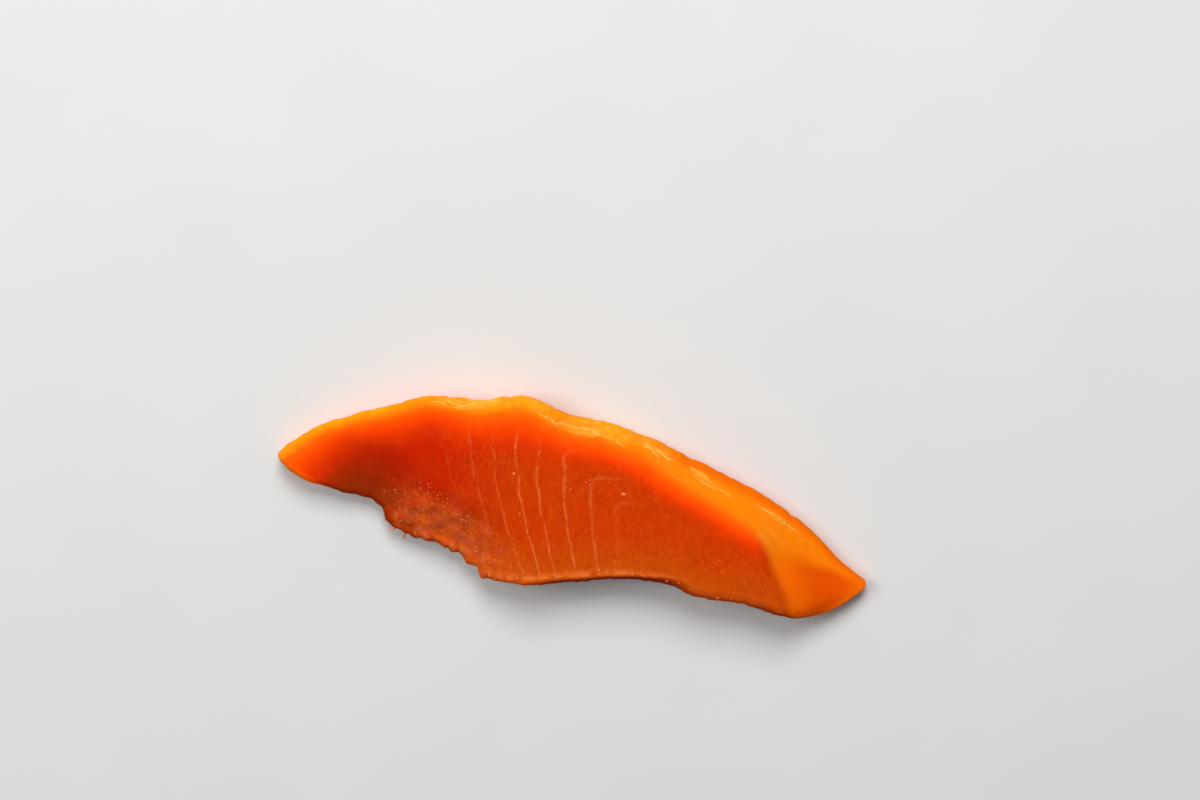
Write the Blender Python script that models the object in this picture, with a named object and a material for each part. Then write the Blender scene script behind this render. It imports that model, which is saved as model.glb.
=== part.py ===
"""A slice of raw sockeye salmon as cut for sashimi, lying flat on one cut face.

Metres, +Z up. X runs along the slice, from its thin belly tip at -X to its thick end at +X. +Y is the
side that faced the skin. The origin is on the underside, below the middle of the slice.
"""

import bmesh
import bpy
import numpy as np
from mathutils import Vector, noise
from mathutils.kdtree import KDTree

MM = 0.001

# The slice from above, counter-clockwise, where it is widest. Each row is x and y, the height at which
# the side turns over into the upper cut face, how far the foot is tucked under, and how far in from
# the edge that turn reaches, all in millimetres. The first row of each list is a corner of the grid.
BELLY_SIDE = [
    (-51.0, -6.2, 3.6, 0.9, 1.6),
    (-42.2, -7.8, 4.2, 1.1, 1.6),
    (-34.6, -8.9, 3.4, 0.9, 1.8),
    (-31.4, -12.6, 3.0, 0.8, 1.3),
    (-24.3, -13.9, 3.5, 0.8, 1.5),
    (-18.1, -15.0, 4.5, 1.2, 1.6),
    (-13.5, -17.6, 6.0, 2.0, 1.5),
    (-7.0, -17.0, 7.5, 2.5, 1.3),
    (3.5, -14.3, 7.0, 3.0, 1.9),
    (10.4, -12.5, 6.8, 3.2, 2.1),
    (17.8, -11.6, 6.8, 3.2, 2.1),
    (24.0, -12.7, 6.8, 2.8, 1.9),
    (32.2, -12.4, 6.4, 2.2, 1.8),
]
THICK_END = [
    (44.0, -13.3, 3.8, 1.1, 2.4),
    (48.6, -11.3, 2.8, 0.7, 2.0),
    (51.9, -8.4, 2.3, 0.4, 1.5),
]
SKIN_SIDE = [
    (53.8, -5.5, 2.0, 0.2, 1.0),
    (52.0, -4.5, 2.0, 0.1, 1.0),
    (48.4, -2.6, 1.9, 0.0, 1.0),
    (43.9, 0.7, 1.8, 0.0, 1.0),
    (35.6, 5.1, 1.7, 0.0, 1.0),
    (20.0, 10.0, 1.7, 0.0, 1.0),
    (4.8, 13.5, 2.2, 0.0, 1.2),
    (-4.6, 14.6, 5.5, 1.0, 2.0),
    (-12.2, 16.9, 7.6, 2.4, 1.8),
    (-20.3, 14.3, 7.2, 2.0, 1.8),
    (-28.7, 13.3, 7.0, 2.2, 1.8),
    (-35.4, 9.9, 6.2, 2.0, 1.8),
    (-43.0, 5.9, 5.0, 1.6, 1.8),
]
THIN_TIP = [
    (-49.9, 0.9, 4.0, 1.0, 1.8),
    (-53.6, -4.5, 3.2, 0.6, 1.6),
]

# The ridge where the upper cut face breaks off into the slanting skin side and thick end.
RIDGE = [
    (-9.0, 17.0),
    (-3.0, 13.8),
    (3.0, 10.9),
    (9.6, 9.6),
    (21.2, 5.3),
    (29.0, 2.4),
    (33.2, -0.8),
    (36.0, -5.0),
    (38.6, -8.6),
    (41.5, -14.5),
]
SOFT_RIDGE = 3.2  # how far the break is rounded near the middle of the slice
CRISP_RIDGE = 1.2  # and at the thick end
SWELL = 2.0  # how far the slant past the ridge swells out above a straight cut

FACE_HEIGHT = 10.2
TIP_DROP, TIP_FROM, TIP_TO = 4.9, -12.0, -56.0  # how much thinner the thin tip is, and from x to x
BELLY_DROP = 4.4  # how much thinner the torn belly edge is
BELLY_REACH = 13.0  # how far in from that edge the thinning runs
BELLY_FROM, BELLY_TO = (-50.0, -30.0), (-18.0, -4.0)  # the x over which it sets in, and fades again
HOLLOW = 0.5  # depth of the shallow hollow that runs towards the thin tip
HOLLOW_X, HOLLOW_Y, HOLLOW_SLOPE = -32.0, -2.0, -0.25  # its middle, and how it runs across
HOLLOW_LENGTH, HOLLOW_WIDTH = 16.0, 5.0
FOOT_RADIUS = 0.7
TURN_POWER = 2.6  # how soon the turn at the edge has risen: 1 is a straight bevel
WAVE = 0.22  # slow waves left by the knife
TEAR = 0.55  # lumps and teeth of the torn belly
TORN_CENTRE, TORN_LENGTH, TORN_WIDTH, TORN_TURN = (-24.0, -10.0), 14.0, 7.0, np.radians(-25)

ALONG, ACROSS, UP = 104, 28, 8  # faces of the grid along, across and up the slice
EDGE_STEP = 0.15  # spacing of the points that distances to an edge are measured from
BLEND_STEP = 0.8  # spacing of the points whose heights are carried in from the edge
SIDE_HEIGHT, TUCK, TURN_REACH = 2, 3, 4  # columns of the outline's rows

FLESH_COLOUR = (0.80, 0.085, 0.006, 1.0)


def curve_through(rows, places, closed):
    """A smooth curve through rows, read at places, which are lengths along its straight chords."""
    rows = np.array(rows, float)
    if closed:
        rows = np.vstack([rows[-2:], rows, rows[:3]])
    steps = np.linalg.norm(np.diff(rows[:, :2], axis=0), axis=1)
    knots = np.concatenate([[0.0], np.cumsum(steps)])
    if closed:
        knots = knots - knots[2]
    slopes = np.gradient(rows, knots, axis=0)
    i = np.clip(np.searchsorted(knots, places, side="right") - 1, 0, len(steps) - 1)
    h = steps[i][:, None]
    t = ((places - knots[i])[:, None]) / h
    return (
        (2 * t**3 - 3 * t**2 + 1) * rows[i]
        + (t**3 - 2 * t**2 + t) * h * slopes[i]
        + (3 * t**2 - 2 * t**3) * rows[i + 1]
        + (t**3 - t**2) * h * slopes[i + 1]
    )


def chord_length(rows):
    return np.linalg.norm(np.diff(np.array(rows)[:, :2], axis=0), axis=1).sum()


OUTLINE = BELLY_SIDE + THICK_END + SKIN_SIDE + THIN_TIP


def corner_places():
    """How far round the outline each of the grid's corners lies, and the whole way round."""
    points = np.array(OUTLINE)[:, :2]
    steps = np.linalg.norm(np.roll(points, -1, axis=0) - points, axis=1)
    lengths = np.concatenate([[0.0], np.cumsum(steps)])
    counts = np.cumsum([0] + [len(side) for side in (BELLY_SIDE, THICK_END, SKIN_SIDE, THIN_TIP)])
    return lengths[counts]


CORNERS = corner_places()
SHARP_TIP = CORNERS[2]


def ramp(low, high, value):
    """0 below low, 1 above high, and a smooth rise between them."""
    t = np.clip((value - low) / (high - low), 0.0, 1.0)
    return t * t * (3 - 2 * t)


def rough(points, size, seed):
    """Smooth noise from -1 to 1 with features of this size, at points in millimetres."""
    return np.array([noise.noise(Vector((x / size, y / size, seed))) for x, y in points])


def torn(points):
    """1 in the middle of the torn belly, falling to 0 around it."""
    away = points - TORN_CENTRE
    c, s = np.cos(TORN_TURN), np.sin(TORN_TURN)
    along = (away[:, 0] * c + away[:, 1] * s) / TORN_LENGTH
    across = (away[:, 1] * c - away[:, 0] * s) / TORN_WIDTH
    return 1 - ramp(0.55, 1.25, np.hypot(along, across))


def rim(places, up):
    """The slice's edge at these places round it, from its foot (up = 0) to its upper turn (up = 1)."""
    rows = curve_through(OUTLINE, places, closed=True)
    ahead = curve_through(OUTLINE, places + EDGE_STEP, closed=True)[:, :2]
    behind = curve_through(OUTLINE, places - EDGE_STEP, closed=True)[:, :2]
    way = ahead - behind
    way /= np.linalg.norm(way, axis=1)[:, None]
    inward = np.column_stack([-way[:, 1], way[:, 0]])
    edge = rows[:, :2]
    lift = np.clip(up * rows[:, SIDE_HEIGHT] / FOOT_RADIUS, 0.0, 1.0)
    inset = rows[:, TUCK] * (1 - up) ** 2 + FOOT_RADIUS * (1 - np.sqrt(1 - (1 - lift) ** 2))
    teeth = 2 * TEAR * torn(edge) * rough(edge, 1.6, 3.0)
    return edge + inward * (inset + teeth)[:, None]


def place_in(across_plan, up):
    """Spreads grid places (0 to 1 along and across) over the outline, each side following its edge."""
    u, v = across_plan
    start, end, top_end, top_start, whole = CORNERS
    low = rim(start + u * (end - start), up)
    right = rim(end + v * (top_end - end), up)
    high = rim(top_start + u * (top_end - top_start), up)
    left = rim(whole + v * (top_start - whole), up)
    corner = [rim(np.full_like(u, place), up) for place in (start, end, top_end, top_start)]
    u, v = u[:, None], v[:, None]
    straight = (
        (1 - u) * (1 - v) * corner[0]
        + u * (1 - v) * corner[1]
        + u * v * corner[2]
        + (1 - u) * v * corner[3]
    )
    return (1 - v) * low + v * high + (1 - u) * left + u * right - straight


def nearest(points, line):
    """The distance from each point to a line of close points, and which of them is nearest."""
    tree = KDTree(len(line))
    for i, (x, y) in enumerate(line):
        tree.insert((x, y, 0.0), i)
    tree.balance()
    found = [tree.find((x, y, 0.0)) for x, y in points]
    return np.array([f[2] for f in found]), np.array([f[1] for f in found])


def face_height(points):
    """The height of the upper cut face, before its edges turn down."""
    x, y = points.T
    height = FACE_HEIGHT - TIP_DROP * ramp(TIP_FROM, TIP_TO, x) ** 1.3
    from_belly, _ = nearest(points, rim(np.arange(0.0, CORNERS[1], EDGE_STEP), 1.0))
    belly = ramp(*BELLY_FROM, x) * (1 - ramp(*BELLY_TO, x))
    height -= BELLY_DROP * belly * (1 - ramp(0.0, BELLY_REACH, from_belly))
    from_middle = y - HOLLOW_Y - HOLLOW_SLOPE * (x - HOLLOW_X)
    in_length = np.exp(-(((x - HOLLOW_X) / HOLLOW_LENGTH) ** 2))
    height -= HOLLOW * in_length * np.exp(-((from_middle / HOLLOW_WIDTH) ** 2))
    height += WAVE * rough(points, 11.0, 7.0)
    return height + TEAR * torn(points) * rough(points, 2.6, 5.0)


def from_slant_edge(points):
    """How far each point lies from the skin side's and the thick end's edges, blended where they meet."""
    end_edge = rim(np.arange(CORNERS[1], SHARP_TIP, EDGE_STEP), 1.0)
    skin_edge = rim(np.arange(SHARP_TIP, CORNERS[3], EDGE_STEP), 1.0)
    to_end, to_skin = nearest(points, end_edge)[0] + EDGE_STEP, nearest(points, skin_edge)[0] + EDGE_STEP
    return to_end * to_skin / (np.sqrt(to_end) + np.sqrt(to_skin)) ** 2


def edge_values(points, column):
    """One column of the outline's rows, carried in from the edge: the closest rows count most."""
    places = np.arange(0.0, CORNERS[-1], BLEND_STEP)
    rows = curve_through(OUTLINE, places, closed=True)
    total, weights = np.zeros(len(points)), np.zeros(len(points))
    for x, y, value in rows[:, [0, 1, column]]:
        weight = 1 / ((points[:, 0] - x) ** 2 + (points[:, 1] - y) ** 2 + 0.01) ** 2
        total += weight * value
        weights += weight
    return total / weights


def top_height(points, on_edge):
    """The height of the slice's upper surface, with the turn at its edge and the slant past the ridge."""
    from_edge, _ = nearest(points, rim(np.arange(0.0, CORNERS[-1], EDGE_STEP), 1.0))
    from_edge[on_edge] = 0.0
    side, turn = edge_values(points, SIDE_HEIGHT), edge_values(points, TURN_REACH)
    face = face_height(points)
    into = np.clip(from_edge / turn, 0.0, 1.0)
    rounded = side + (face - side) * (1 - (1 - into) ** TURN_POWER)

    ridge = curve_through(RIDGE, np.arange(0.0, chord_length(RIDGE), EDGE_STEP), closed=False)
    from_ridge, j = nearest(points, ridge)
    way = np.gradient(ridge, axis=0)[j]
    offset = points - ridge[j]
    outside = way[:, 0] * offset[:, 1] - way[:, 1] * offset[:, 0] > 0
    in_slant = from_slant_edge(points)
    slant = side + (face - side) * (in_slant + SWELL) / (in_slant + from_ridge + SWELL)
    slant = np.where(outside, slant, face + from_ridge)
    soft = SOFT_RIDGE + (CRISP_RIDGE - SOFT_RIDGE) * ramp(12.0, 32.0, points[:, 0])
    gap = np.clip(0.5 + 0.5 * (slant - rounded) / soft, 0.0, 1.0)
    lower = slant + (rounded - slant) * gap - soft * gap * (1 - gap)
    return np.maximum(np.where(on_edge, side, lower), 0.5 * side)


def crowd(t):
    """Moves evenly spaced places from 0 to 1 towards both ends, where the edges turn."""
    return 0.55 * t + 0.45 * (0.5 - 0.5 * np.cos(np.pi * t))


def salmon_slice():
    """A block cut into a grid, whose points are then moved onto the slice."""
    bm = bmesh.new()
    bmesh.ops.create_cube(bm, size=2.0)
    for axis, faces in enumerate((ALONG, ACROSS, UP)):
        edges = [e for e in bm.edges if abs(e.verts[0].co[axis] - e.verts[1].co[axis]) > 1.0]
        bmesh.ops.subdivide_edges(bm, edges=edges, cuts=faces - 1, use_grid_fill=True)
    mesh = bpy.data.meshes.new("salmon_slice")
    bm.to_mesh(mesh)
    bm.free()

    block = np.empty(len(mesh.vertices) * 3)
    mesh.vertices.foreach_get("co", block)
    u, v, up = (block.reshape(-1, 3).T + 1) / 2
    on_edge = (np.minimum(u, v) < 1e-4) | (np.maximum(u, v) > 1 - 1e-4)
    u, v, up = crowd(u), crowd(v), crowd(up)
    points = place_in((u, v), up)
    height = up * top_height(place_in((u, v), 1.0), on_edge)
    points -= (points.min(axis=0) + points.max(axis=0)) / 2
    mesh.vertices.foreach_set("co", np.column_stack([points, height]).ravel() * MM)
    mesh.shade_smooth()

    slice_object = bpy.data.objects.new("salmon_slice", mesh)
    mesh.materials.append(flesh())
    return slice_object


def flesh():
    """Raw sockeye flesh: deep red-orange, smooth and wet."""
    material = bpy.data.materials.new("salmon_flesh")
    material.use_nodes = True
    shader = material.node_tree.nodes["Principled BSDF"]
    shader.inputs["Base Color"].default_value = FLESH_COLOUR
    shader.inputs["Roughness"].default_value = 0.38
    shader.inputs["Metallic"].default_value = 0.0
    return material


for old in list(bpy.data.objects):
    bpy.data.objects.remove(old, do_unlink=True)
collection = bpy.data.collections.new("salmon_sashimi")
bpy.context.scene.collection.children.link(collection)
collection.objects.link(salmon_slice())
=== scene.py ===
"""The looks of a slice of raw sockeye salmon cut for sashimi, lying on a pale floor.

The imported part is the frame. Its one solid gives way to a finer mesh of the same form, with the torn
belly, the fat lines and the wet skin side of the real slice.
"""

import bmesh
import bpy
import numpy as np
from mathutils import Matrix, Vector, noise
from mathutils.kdtree import KDTree


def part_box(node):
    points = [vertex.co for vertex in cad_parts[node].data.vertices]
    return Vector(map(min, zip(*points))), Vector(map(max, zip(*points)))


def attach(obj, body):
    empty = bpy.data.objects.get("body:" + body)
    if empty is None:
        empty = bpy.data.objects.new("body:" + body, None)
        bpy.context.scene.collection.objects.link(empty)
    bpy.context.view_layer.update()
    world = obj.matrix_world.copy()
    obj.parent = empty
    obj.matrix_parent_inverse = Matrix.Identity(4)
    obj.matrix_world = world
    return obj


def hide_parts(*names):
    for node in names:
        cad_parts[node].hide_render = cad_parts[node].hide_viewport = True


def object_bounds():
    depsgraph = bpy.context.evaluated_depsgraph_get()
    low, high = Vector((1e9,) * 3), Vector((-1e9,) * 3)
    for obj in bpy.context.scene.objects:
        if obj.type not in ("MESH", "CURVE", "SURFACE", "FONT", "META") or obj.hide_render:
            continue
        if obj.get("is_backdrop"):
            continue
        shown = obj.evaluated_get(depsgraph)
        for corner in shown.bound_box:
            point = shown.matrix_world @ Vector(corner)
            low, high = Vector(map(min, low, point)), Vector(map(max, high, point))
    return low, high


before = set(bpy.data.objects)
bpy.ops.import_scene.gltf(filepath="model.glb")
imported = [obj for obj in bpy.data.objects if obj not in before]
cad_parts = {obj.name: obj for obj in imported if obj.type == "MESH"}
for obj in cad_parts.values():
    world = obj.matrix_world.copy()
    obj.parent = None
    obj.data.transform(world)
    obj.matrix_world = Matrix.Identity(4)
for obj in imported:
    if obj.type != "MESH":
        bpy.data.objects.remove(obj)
cad_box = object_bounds()

# ---------------------------------------------------------------------------------------------------
# The slice: one piece of raw sockeye flesh, cut across the fillet with a long knife. The knife left
# the two flat faces, the skin side slants away past a ridge, and the thin belly edge tore.
# Lengths are in millimetres, as the slice lies: x along it, y towards the skin side, z up.
# ---------------------------------------------------------------------------------------------------

MM = 0.001  # metres in a millimetre

# The slice from above, counter-clockwise, where it is widest. Each row is x and y, the height at which
# the side turns over into the cut face, how far the foot is tucked under, and how far in from the edge
# that turn reaches. The first row of each list is a corner of the grid, and the skin side's is the
# sharp tip.
BELLY_SIDE = [
    (-51.0, -6.2, 3.6, 0.9, 1.6),
    (-42.2, -7.8, 4.2, 1.1, 1.6),
    (-34.6, -8.9, 3.4, 0.9, 1.8),
    (-31.4, -12.6, 3.0, 0.8, 1.3),
    (-24.3, -13.9, 3.5, 0.8, 1.5),
    (-18.1, -15.0, 4.5, 1.2, 1.6),
    (-13.5, -17.6, 6.0, 2.0, 1.5),
    (-7.0, -17.0, 7.5, 2.5, 1.3),
    (3.5, -14.3, 7.0, 3.0, 1.9),
    (10.4, -12.5, 6.8, 3.2, 2.1),
    (17.8, -11.6, 6.8, 3.2, 2.1),
    (24.0, -12.7, 6.8, 2.8, 1.9),
    (32.2, -12.4, 6.4, 2.2, 1.8),
]
THICK_END = [
    (44.0, -13.3, 3.8, 1.1, 2.4),
    (48.6, -11.3, 2.8, 0.7, 2.0),
    (51.9, -8.4, 2.3, 0.4, 1.5),
]
SKIN_SIDE = [
    (53.8, -5.5, 2.0, 0.2, 1.0),
    (52.0, -4.5, 2.0, 0.1, 1.0),
    (48.4, -2.6, 1.9, 0.0, 1.0),
    (43.9, 0.7, 1.8, 0.0, 1.0),
    (35.6, 5.1, 1.7, 0.0, 1.0),
    (20.0, 10.0, 1.7, 0.0, 1.0),
    (4.8, 13.5, 2.2, 0.0, 1.2),
    (-4.6, 14.6, 5.5, 1.0, 2.0),
    (-12.2, 16.9, 7.6, 2.4, 1.8),
    (-20.3, 14.3, 7.2, 2.0, 1.8),
    (-28.7, 13.3, 7.0, 2.2, 1.8),
    (-35.4, 9.9, 6.2, 2.0, 1.8),
    (-43.0, 5.9, 5.0, 1.6, 1.8),
]
THIN_TIP = [
    (-49.9, 0.9, 4.0, 1.0, 1.8),
    (-53.6, -4.5, 3.2, 0.6, 1.6),
]
OUTLINE = BELLY_SIDE + THICK_END + SKIN_SIDE + THIN_TIP
SIDE_HEIGHT, TUCK, TURN_REACH = 2, 3, 4  # columns of the outline's rows

# The ridge where the cut face breaks off into the slanting skin side and thick end.
RIDGE = [
    (-9.0, 17.0),
    (-3.0, 13.8),
    (3.0, 10.9),
    (9.6, 9.6),
    (21.2, 5.3),
    (29.0, 2.4),
    (33.2, -0.8),
    (36.0, -5.0),
    (38.6, -8.6),
    (41.5, -14.5),
]
SOFT_RIDGE = 3.2  # how far the break is rounded near the middle of the slice
CRISP_RIDGE = 1.2  # and at the thick end
SWELL = 2.0  # how far the slant past the ridge swells out above a straight cut

FACE_HEIGHT = 10.2
TIP_DROP, TIP_BOW = 4.9, 1.3  # how much thinner the thin tip is, and how late it thins
TIP_FROM, TIP_TO = -12.0, -56.0  # the x over which it thins
BELLY_DROP = 4.4  # how much thinner the torn belly edge is
BELLY_REACH = 13.0  # how far in from that edge the thinning runs
BELLY_FROM, BELLY_TO = (-50.0, -30.0), (-18.0, -4.0)  # the x over which it sets in, and fades again
HOLLOW = 0.5  # depth of the shallow hollow that runs towards the thin tip
HOLLOW_X, HOLLOW_Y, HOLLOW_SLOPE = -32.0, -2.0, -0.25  # its middle, and how it runs across
HOLLOW_LENGTH, HOLLOW_WIDTH = 16.0, 5.0
FOOT_RADIUS = 0.7
TURN_POWER = 2.6  # how soon the turn at the edge has risen: 1 is a straight bevel
WAVE, WAVE_LENGTH = 0.22, 11.0  # slow waves left by the knife
TORN_CENTRE, TORN_LENGTH, TORN_WIDTH, TORN_TURN = (-24.0, -10.0), 14.0, 7.0, np.radians(-25)
LUMPS = 0.55  # height of the lumps of the torn belly
SHREDS = 0.08  # height of the finer shreds over them
TEETH, FINE_TEETH = 1.10, 0.44  # depth of the torn edge's teeth

NICKS = 0.22  # depth of the small nicks round the whole edge
NO_NICKS = (38.0, 45.0)  # the x over which they fade out towards the sharp tip
CONNECTIVE, CONNECTIVE_STEP = 0.16, 1.7  # height and spacing of the thin sheets along the skin side
ALONG, ACROSS, UP = 300, 108, 22  # faces of the grid along, across and up the slice
CROWDING = 0.45  # how much closer together they lie where the edges turn: 0 is evenly
EDGE_STEP = 0.15  # spacing of the points that distances to an edge are measured from
BLEND_STEP = 0.8  # spacing of the points whose heights are carried in from the edge


def curve_through(rows, places, closed):
    """A smooth curve through rows, read at places, which are lengths along its straight chords."""
    rows = np.array(rows, float)
    if closed:
        rows = np.vstack([rows[-2:], rows, rows[:3]])
    steps = np.linalg.norm(np.diff(rows[:, :2], axis=0), axis=1)
    knots = np.concatenate([[0.0], np.cumsum(steps)])
    if closed:
        knots = knots - knots[2]
    slopes = np.gradient(rows, knots, axis=0)
    i = np.clip(np.searchsorted(knots, places, side="right") - 1, 0, len(steps) - 1)
    h = steps[i][:, None]
    t = ((places - knots[i])[:, None]) / h
    return (
        (2 * t**3 - 3 * t**2 + 1) * rows[i]
        + (t**3 - 2 * t**2 + t) * h * slopes[i]
        + (3 * t**2 - 2 * t**3) * rows[i + 1]
        + (t**3 - t**2) * h * slopes[i + 1]
    )


def chord_length(rows):
    return np.linalg.norm(np.diff(np.array(rows)[:, :2], axis=0), axis=1).sum()


def corner_places():
    """How far round the outline each of the grid's corners lies, and the whole way round."""
    points = np.array(OUTLINE)[:, :2]
    steps = np.linalg.norm(np.roll(points, -1, axis=0) - points, axis=1)
    lengths = np.concatenate([[0.0], np.cumsum(steps)])
    counts = np.cumsum([0] + [len(side) for side in (BELLY_SIDE, THICK_END, SKIN_SIDE, THIN_TIP)])
    return lengths[counts]


CORNERS = corner_places()
SHARP_TIP = CORNERS[2]


def ramp(low, high, value):
    """0 below low, 1 above high, and a smooth rise between them."""
    t = np.clip((value - low) / (high - low), 0.0, 1.0)
    return t * t * (3 - 2 * t)


def rough(points, size, seed, stretch=1.0, turn=0.0):
    """Smooth noise from -1 to 1 with features of this size, longer by stretch along the turned x."""
    c, s = np.cos(turn), np.sin(turn)
    along = (points[:, 0] * c + points[:, 1] * s) / (size * stretch)
    across = (points[:, 1] * c - points[:, 0] * s) / size
    return np.array([noise.noise(Vector((a, b, seed))) for a, b in zip(along, across)])


def torn(points, whole=0.55, none=1.25):
    """1 in the middle of the torn belly, falling to 0 around it, over these shares of its size."""
    away = points - TORN_CENTRE
    c, s = np.cos(TORN_TURN), np.sin(TORN_TURN)
    along = (away[:, 0] * c + away[:, 1] * s) / TORN_LENGTH
    across = (away[:, 1] * c - away[:, 0] * s) / TORN_WIDTH
    return 1 - ramp(whole, none, np.hypot(along, across))


def rim(places, up):
    """The slice's edge at these places round it, from its foot (up = 0) to its upper turn (up = 1)."""
    rows = curve_through(OUTLINE, places, closed=True)
    ahead = curve_through(OUTLINE, places + EDGE_STEP, closed=True)[:, :2]
    behind = curve_through(OUTLINE, places - EDGE_STEP, closed=True)[:, :2]
    way = ahead - behind
    way /= np.linalg.norm(way, axis=1)[:, None]
    inward = np.column_stack([-way[:, 1], way[:, 0]])
    edge = rows[:, :2]
    lift = np.clip(up * rows[:, SIDE_HEIGHT] / FOOT_RADIUS, 0.0, 1.0)
    inset = rows[:, TUCK] * (1 - up) ** 2 + FOOT_RADIUS * (1 - np.sqrt(1 - (1 - lift) ** 2))
    fine_teeth = FINE_TEETH * rough(edge, 0.55, 9.0) * ramp(-0.5, 0.7, rough(edge, 4.0, 45.0))
    ragged = torn(edge) * (TEETH * rough(edge, 1.6, 3.0) + fine_teeth)
    nicks = rough(edge, 5.0, 42.0) + rough(edge, 2.2, 43.0) + 0.7 * rough(edge, 0.9, 44.0)
    ragged += NICKS * nicks * (1 - ramp(*NO_NICKS, edge[:, 0]))
    return edge + inward * (inset + ragged)[:, None]


def place_in(across_plan, up):
    """Spreads grid places (0 to 1 along and across) over the outline, each side following its edge."""
    u, v = across_plan
    start, end, top_end, top_start, whole = CORNERS
    low = rim(start + u * (end - start), up)
    right = rim(end + v * (top_end - end), up)
    high = rim(top_start + u * (top_end - top_start), up)
    left = rim(whole + v * (top_start - whole), up)
    corner = [rim(np.full_like(u, place), up) for place in (start, end, top_end, top_start)]
    u, v = u[:, None], v[:, None]
    straight = (
        (1 - u) * (1 - v) * corner[0]
        + u * (1 - v) * corner[1]
        + u * v * corner[2]
        + (1 - u) * v * corner[3]
    )
    return (1 - v) * low + v * high + (1 - u) * left + u * right - straight


def nearest(points, line):
    """The distance from each point to a line of close points, and which of them is nearest."""
    tree = KDTree(len(line))
    for i, (x, y) in enumerate(line):
        tree.insert((x, y, 0.0), i)
    tree.balance()
    found = [tree.find((x, y, 0.0)) for x, y in points]
    return np.array([f[2] for f in found]), np.array([f[1] for f in found])


def from_belly(points):
    """How far each point lies from the torn belly side's edge."""
    return nearest(points, rim(np.arange(0.0, CORNERS[1], EDGE_STEP), 1.0))[0]


def past_ridge(points):
    """How far each point lies from the ridge: above 0 out on the slant, below 0 on the cut face."""
    ridge = curve_through(RIDGE, np.arange(0.0, chord_length(RIDGE), EDGE_STEP), closed=False)
    distance, j = nearest(points, ridge)
    way = np.gradient(ridge, axis=0)[j]
    offset = points - ridge[j]
    outside = way[:, 0] * offset[:, 1] - way[:, 1] * offset[:, 0] > 0
    return np.where(outside, distance, -distance)


def shreds(points):
    """Relief of the torn belly: lumps, with sharp little crests of pulled muscle over them."""
    lumps = LUMPS * rough(points, 2.6, 5.0)
    crests = 1 - 2 * np.abs(rough(points, 1.3, 15.0, stretch=1.6, turn=np.radians(-50)))
    grit = rough(points, 0.6, 25.0)
    return torn(points) * (lumps + SHREDS * (crests + grit) * (0.6 + rough(points, 3.5, 35.0)))


def face_height(points):
    """The height of the upper cut face, before its edges turn down."""
    x, y = points.T
    height = FACE_HEIGHT - TIP_DROP * ramp(TIP_FROM, TIP_TO, x) ** TIP_BOW
    belly = ramp(*BELLY_FROM, x) * (1 - ramp(*BELLY_TO, x))
    height -= BELLY_DROP * belly * (1 - ramp(0.0, BELLY_REACH, from_belly(points)))
    from_middle = y - HOLLOW_Y - HOLLOW_SLOPE * (x - HOLLOW_X)
    in_length = np.exp(-(((x - HOLLOW_X) / HOLLOW_LENGTH) ** 2))
    height -= HOLLOW * in_length * np.exp(-((from_middle / HOLLOW_WIDTH) ** 2))
    return height + WAVE * rough(points, WAVE_LENGTH, 7.0) + shreds(points)


def from_slant_edge(points):
    """How far each point lies from the skin side's and the thick end's edges, blended where they meet."""
    end_edge = rim(np.arange(CORNERS[1], SHARP_TIP, EDGE_STEP), 1.0)
    skin_edge = rim(np.arange(SHARP_TIP, CORNERS[3], EDGE_STEP), 1.0)
    to_end = nearest(points, end_edge)[0] + EDGE_STEP
    to_skin = nearest(points, skin_edge)[0] + EDGE_STEP
    return to_end * to_skin / (np.sqrt(to_end) + np.sqrt(to_skin)) ** 2


def edge_values(points, column):
    """One column of the outline's rows, carried in from the edge: the closest rows count most."""
    places = np.arange(0.0, CORNERS[-1], BLEND_STEP)
    rows = curve_through(OUTLINE, places, closed=True)
    total, weights = np.zeros(len(points)), np.zeros(len(points))
    for x, y, value in rows[:, [0, 1, column]]:
        weight = 1 / ((points[:, 0] - x) ** 2 + (points[:, 1] - y) ** 2 + 0.01) ** 2
        total += weight * value
        weights += weight
    return total / weights


def top_height(points, on_edge, past):
    """The height of the slice's upper surface, with the turn at its edge and the slant past the ridge."""
    from_edge, _ = nearest(points, rim(np.arange(0.0, CORNERS[-1], EDGE_STEP), 1.0))
    from_edge[on_edge] = 0.0
    side, turn = edge_values(points, SIDE_HEIGHT), edge_values(points, TURN_REACH)
    face = face_height(points)
    into = np.clip(from_edge / turn, 0.0, 1.0)
    rounded = side + (face - side) * (1 - (1 - into) ** TURN_POWER)

    in_slant = from_slant_edge(points)
    slant = side + (face - side) * (in_slant + SWELL) / (in_slant + np.abs(past) + SWELL)
    sheets = np.sin(2 * np.pi * past / CONNECTIVE_STEP + 2.5 * rough(points, 7.0, 31.0))
    sheets *= CONNECTIVE * ramp(0.1, 0.6, rough(points, 4.0, 33.0, stretch=3.0, turn=np.radians(-20)))
    slant += sheets * ramp(0.3, 1.2, past) * ramp(0.5, 2.0, from_edge)
    slant = np.where(past > 0, slant, face - past)
    soft = SOFT_RIDGE + (CRISP_RIDGE - SOFT_RIDGE) * ramp(12.0, 32.0, points[:, 0])
    gap = np.clip(0.5 + 0.5 * (slant - rounded) / soft, 0.0, 1.0)
    lower = slant + (rounded - slant) * gap - soft * gap * (1 - gap)
    return np.maximum(np.where(on_edge, side, lower), 0.5 * side)


def crowd(t):
    """Moves evenly spaced places from 0 to 1 towards both ends, where the edges turn."""
    return (1 - CROWDING) * t + CROWDING * (0.5 - 0.5 * np.cos(np.pi * t))


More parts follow.
